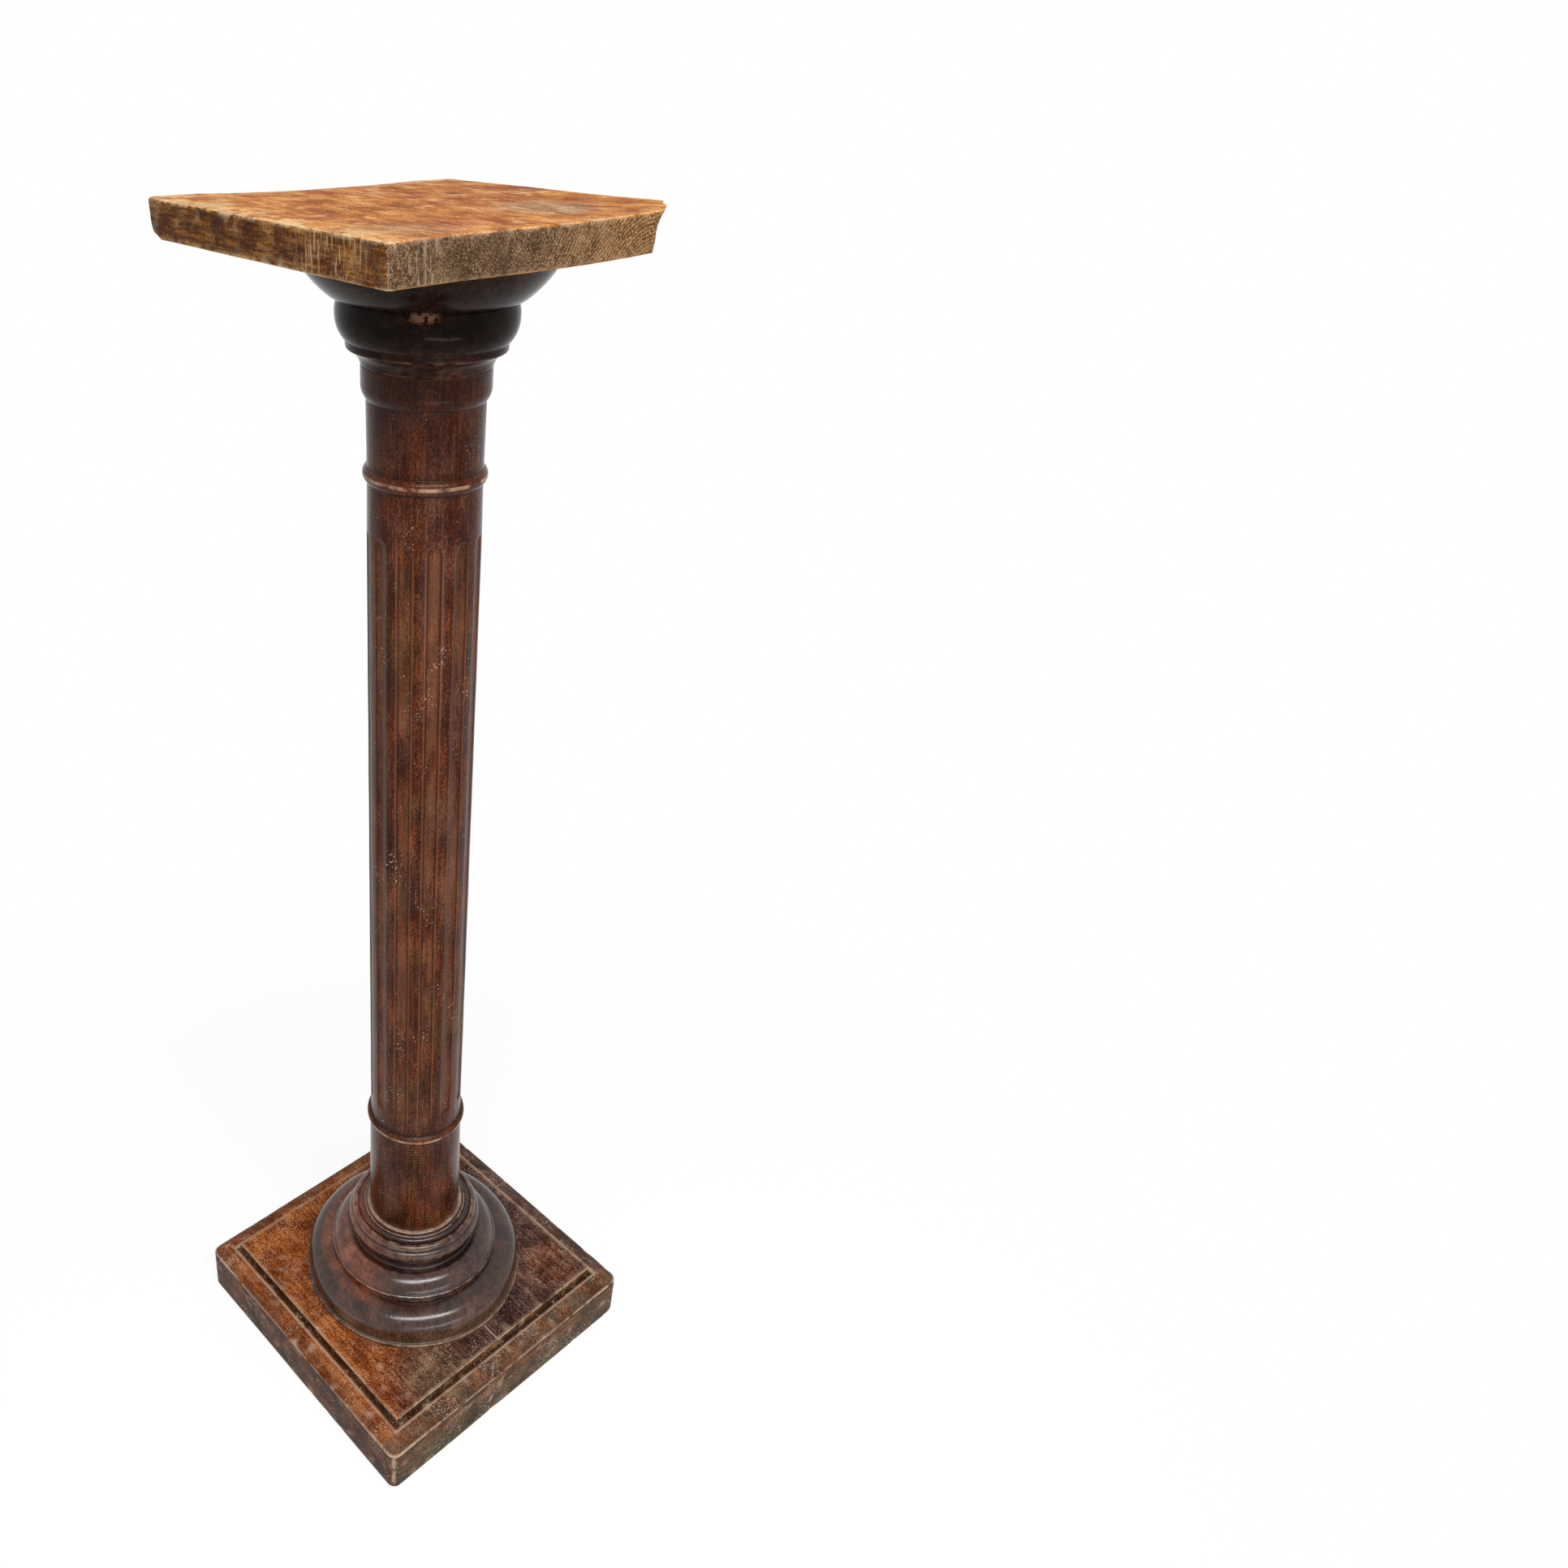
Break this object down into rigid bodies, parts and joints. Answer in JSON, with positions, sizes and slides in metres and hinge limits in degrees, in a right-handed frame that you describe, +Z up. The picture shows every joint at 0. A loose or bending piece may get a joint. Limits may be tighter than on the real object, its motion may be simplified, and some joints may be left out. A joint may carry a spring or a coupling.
{
  "type": "pedestal column stand",
  "caption": "Turned wooden column on a moulded square plinth, with a fluted shaft, a bowl-shaped capital and a flat square top board that carries a plant, lamp or bust.",
  "frame": {"origin": "centre of the plinth's underside, on the floor", "axes": "+Z up along the column; X and Y along the sides of the square plinth; the grain of the plinth and of the top board runs along Y"},
  "size_m": [0.2964, 0.2964, 1.05],
  "materials": {
    "plinth_wood": "worn dark red-brown stain under an old satin varnish",
    "base_wood": "dark brown gloss varnish over turned wood",
    "shaft_wood": "dark red-brown satin varnish with upright streaks",
    "capital_wood": "nearly black brown gloss varnish",
    "board_wood": "bare, worn and scuffed top with grey-brown weathered edges",
    "dowel_wood": "bare hardwood dowel",
    "wedge_wood": "bare hardwood wedge",
    "screw_steel": "dull slotted steel"
  },
  "bodies": {
    "root": {"plinth_left_plank": "plinth_wood", "plinth_right_plank": "plinth_wood", "plinth_seam_dowels": "dowel_wood", "base_cushion": "base_wood", "base_screws": "screw_steel", "base_collar": "base_wood", "base_dowels": "dowel_wood", "shaft": "shaft_wood", "bottom_tenon_wedge": "wedge_wood", "capital_ring": "capital_wood", "capital_dowels": "dowel_wood", "capital_bowl": "capital_wood", "top_tenon_wedge": "wedge_wood", "top_screws": "screw_steel", "top_board": "board_wood"}
  },
  "joints": []
}
